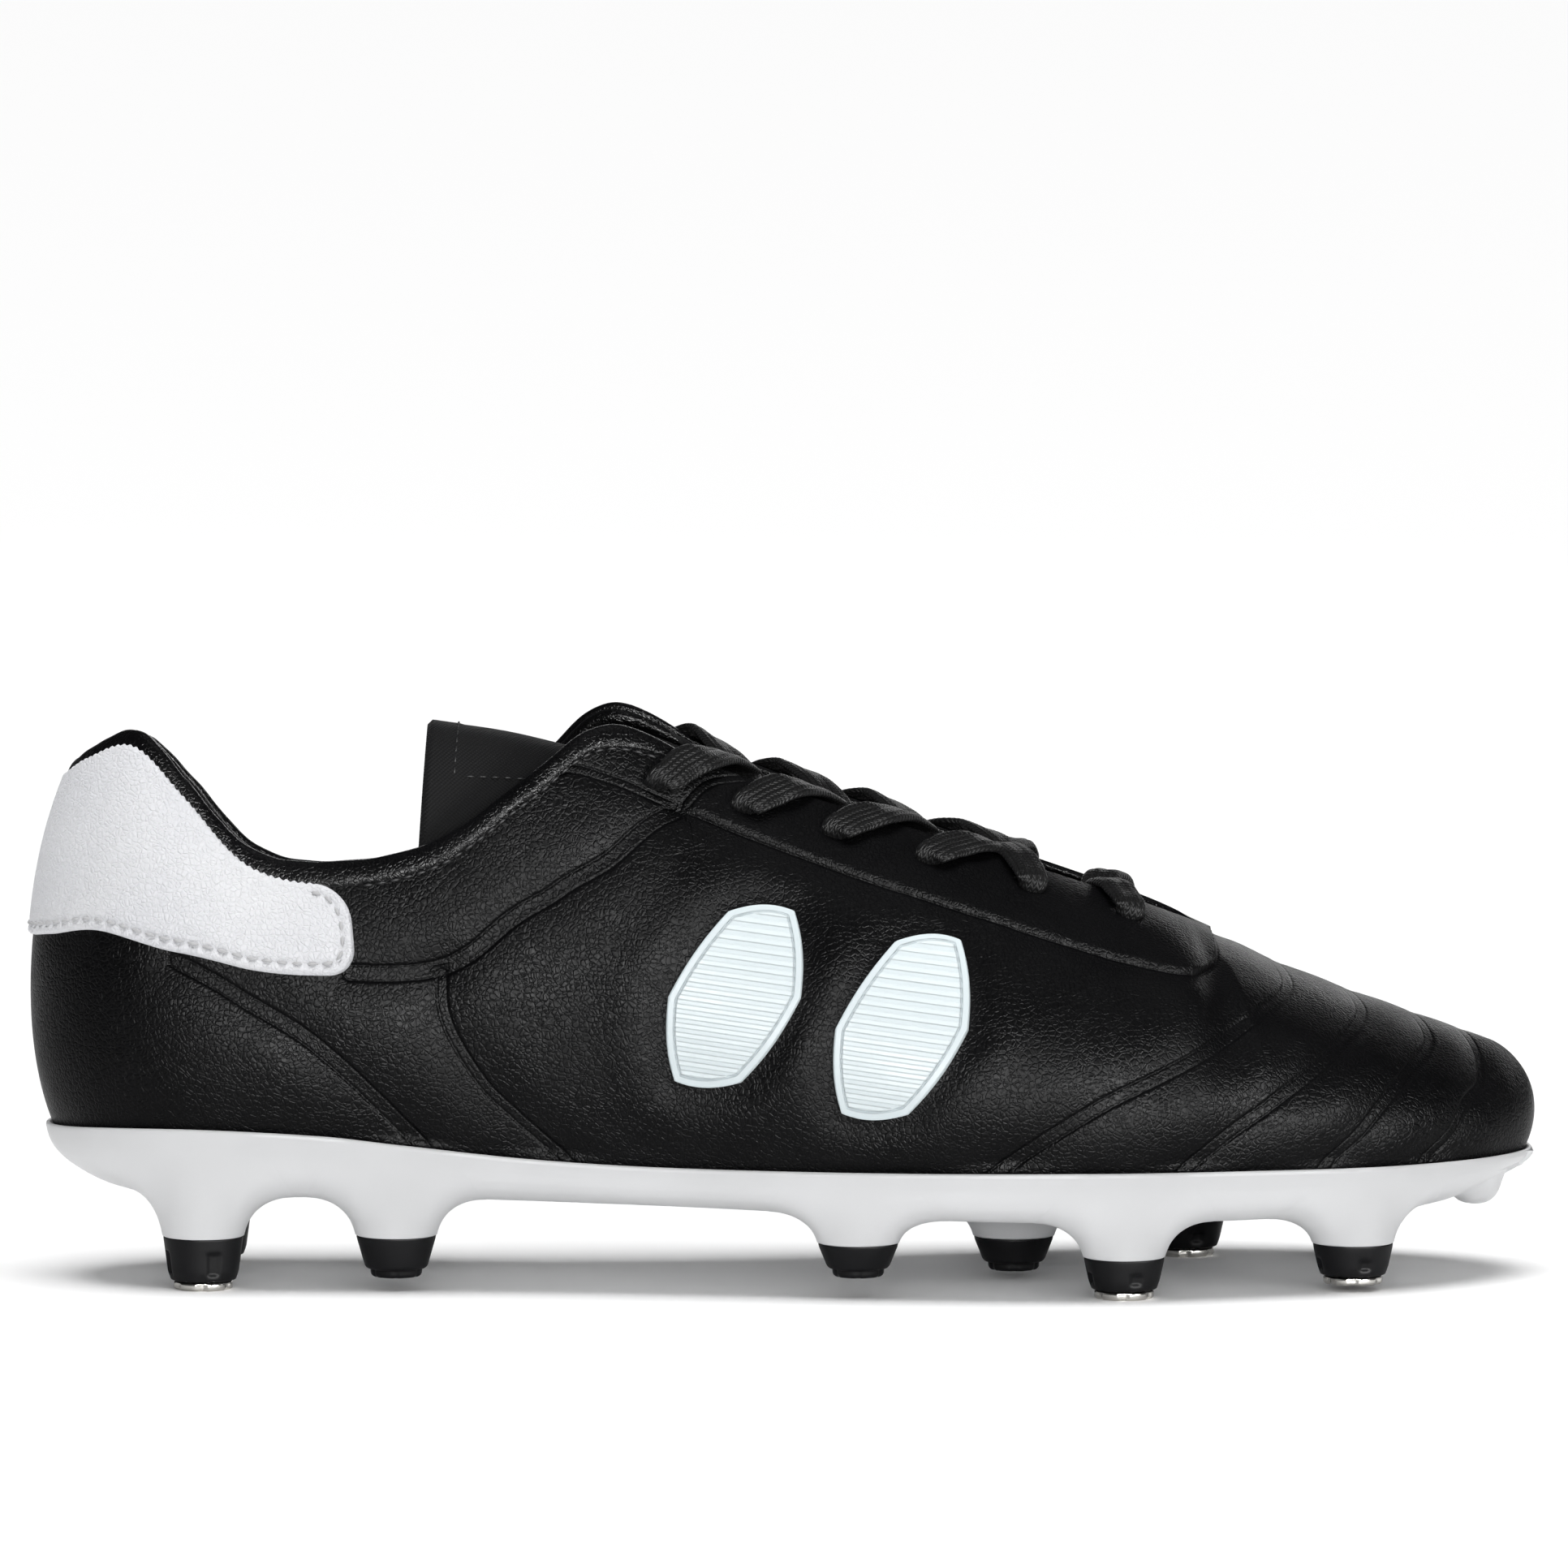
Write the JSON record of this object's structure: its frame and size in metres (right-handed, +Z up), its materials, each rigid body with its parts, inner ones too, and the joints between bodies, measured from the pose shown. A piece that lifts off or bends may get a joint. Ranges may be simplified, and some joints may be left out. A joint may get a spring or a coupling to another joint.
{
  "type": "soccer cleat",
  "caption": "Right-foot soft-ground football boot with lasted upper, lace and tongue, sole plate, screw-in steel-tipped studs and moulded studs",
  "frame": {"origin": "middle of the bounding box in X and Y, at the ground the steel stud tips stand on", "axes": "+X from heel to toe, +Y to the inner side of the foot, +Z up"},
  "size_m": [0.2885, 0.0955, 0.1085],
  "materials": {
    "upper_leather": "grained black synthetic leather",
    "white_leather": "fine-grained white synthetic leather",
    "emblem_plastic": "satin ribbed white plastic",
    "textile": "black knitted lining",
    "tongue_fabric": "black coated textile",
    "lace_fabric": "flat black weave",
    "plate_plastic": "satin white moulded plastic",
    "stud_plastic": "black moulded plastic",
    "stud_steel": "polished turned steel",
    "socket_steel": "plated steel",
    "board": "pressed fibre board",
    "foam": "black fabric-topped foam",
    "stiffener": "thermoplastic sheet"
  },
  "bodies": {
    "boot": {"outsole_plate": "plate_plastic", "insole_board": "board", "vamp": "upper_leather", "quarter_lateral": "upper_leather", "quarter_medial": "upper_leather", "eyestay_facing_lateral": "textile", "eyestay_facing_medial": "textile", "heel_counter": "stiffener", "toe_puff": "stiffener", "vamp_lining": "textile", "quarter_lining_lateral": "textile", "quarter_lining_medial": "textile", "collar_padding": "textile", "collar_binding": "upper_leather", "heel_overlay": "white_leather", "emblem_lateral_rear": "emblem_plastic", "emblem_lateral_front": "emblem_plastic", "emblem_medial_rear": "emblem_plastic", "emblem_medial_front": "emblem_plastic", "tongue_base": "tongue_fabric", "lace": "lace_fabric", "aglet_front": "stud_plastic", "aglet_rear": "stud_plastic", "moulded_stud_heel_lateral": "stud_plastic", "moulded_stud_heel_medial": "stud_plastic", "moulded_stud_waist_lateral": "stud_plastic", "moulded_stud_waist_medial": "stud_plastic", "moulded_stud_centre": "stud_plastic", "stud_socket_heel_lateral": "socket_steel", "stud_socket_heel_medial": "socket_steel", "stud_socket_ball_lateral": "socket_steel", "stud_socket_ball_medial": "socket_steel", "stud_socket_toe_lateral": "socket_steel", "stud_socket_toe_medial": "socket_steel"},
    "tongue": {"tongue_flap": "tongue_fabric"},
    "insole": {"sockliner": "foam"},
    "stud_heel_lateral": {"stud_sleeve_heel_lateral": "stud_plastic", "stud_pin_heel_lateral": "stud_steel"},
    "stud_heel_medial": {"stud_sleeve_heel_medial": "stud_plastic", "stud_pin_heel_medial": "stud_steel"},
    "stud_ball_lateral": {"stud_sleeve_ball_lateral": "stud_plastic", "stud_pin_ball_lateral": "stud_steel"},
    "stud_ball_medial": {"stud_sleeve_ball_medial": "stud_plastic", "stud_pin_ball_medial": "stud_steel"},
    "stud_toe_lateral": {"stud_sleeve_toe_lateral": "stud_plastic", "stud_pin_toe_lateral": "stud_steel"},
    "stud_toe_medial": {"stud_sleeve_toe_medial": "stud_plastic", "stud_pin_toe_medial": "stud_steel"}
  },
  "joints": [
    {"name": "tongue_fold", "type": "hinge", "parent": "boot", "child": "tongue", "pos_m": [-0.034, 0, 0.1], "axis": [0, 1, 0], "range_deg": [0, 45]},
    {"name": "sockliner_lift", "type": "hinge", "parent": "boot", "child": "insole", "pos_m": [0.136, 0.008, 0.0215], "axis": [0, 1, 0], "range_deg": [0, 5]},
    {"name": "stud_heel_lateral_unscrew", "type": "slide", "parent": "boot", "child": "stud_heel_lateral", "axis": [0, 0, -1], "range_m": [0, 0.012]},
    {"name": "stud_heel_medial_unscrew", "type": "slide", "parent": "boot", "child": "stud_heel_medial", "axis": [0, 0, -1], "range_m": [0, 0.012]},
    {"name": "stud_ball_lateral_unscrew", "type": "slide", "parent": "boot", "child": "stud_ball_lateral", "axis": [0, 0, -1], "range_m": [0, 0.012]},
    {"name": "stud_ball_medial_unscrew", "type": "slide", "parent": "boot", "child": "stud_ball_medial", "axis": [0, 0, -1], "range_m": [0, 0.012]},
    {"name": "stud_toe_lateral_unscrew", "type": "slide", "parent": "boot", "child": "stud_toe_lateral", "axis": [0, 0, -1], "range_m": [0, 0.012]},
    {"name": "stud_toe_medial_unscrew", "type": "slide", "parent": "boot", "child": "stud_toe_medial", "axis": [0, 0, -1], "range_m": [0, 0.012]}
  ]
}
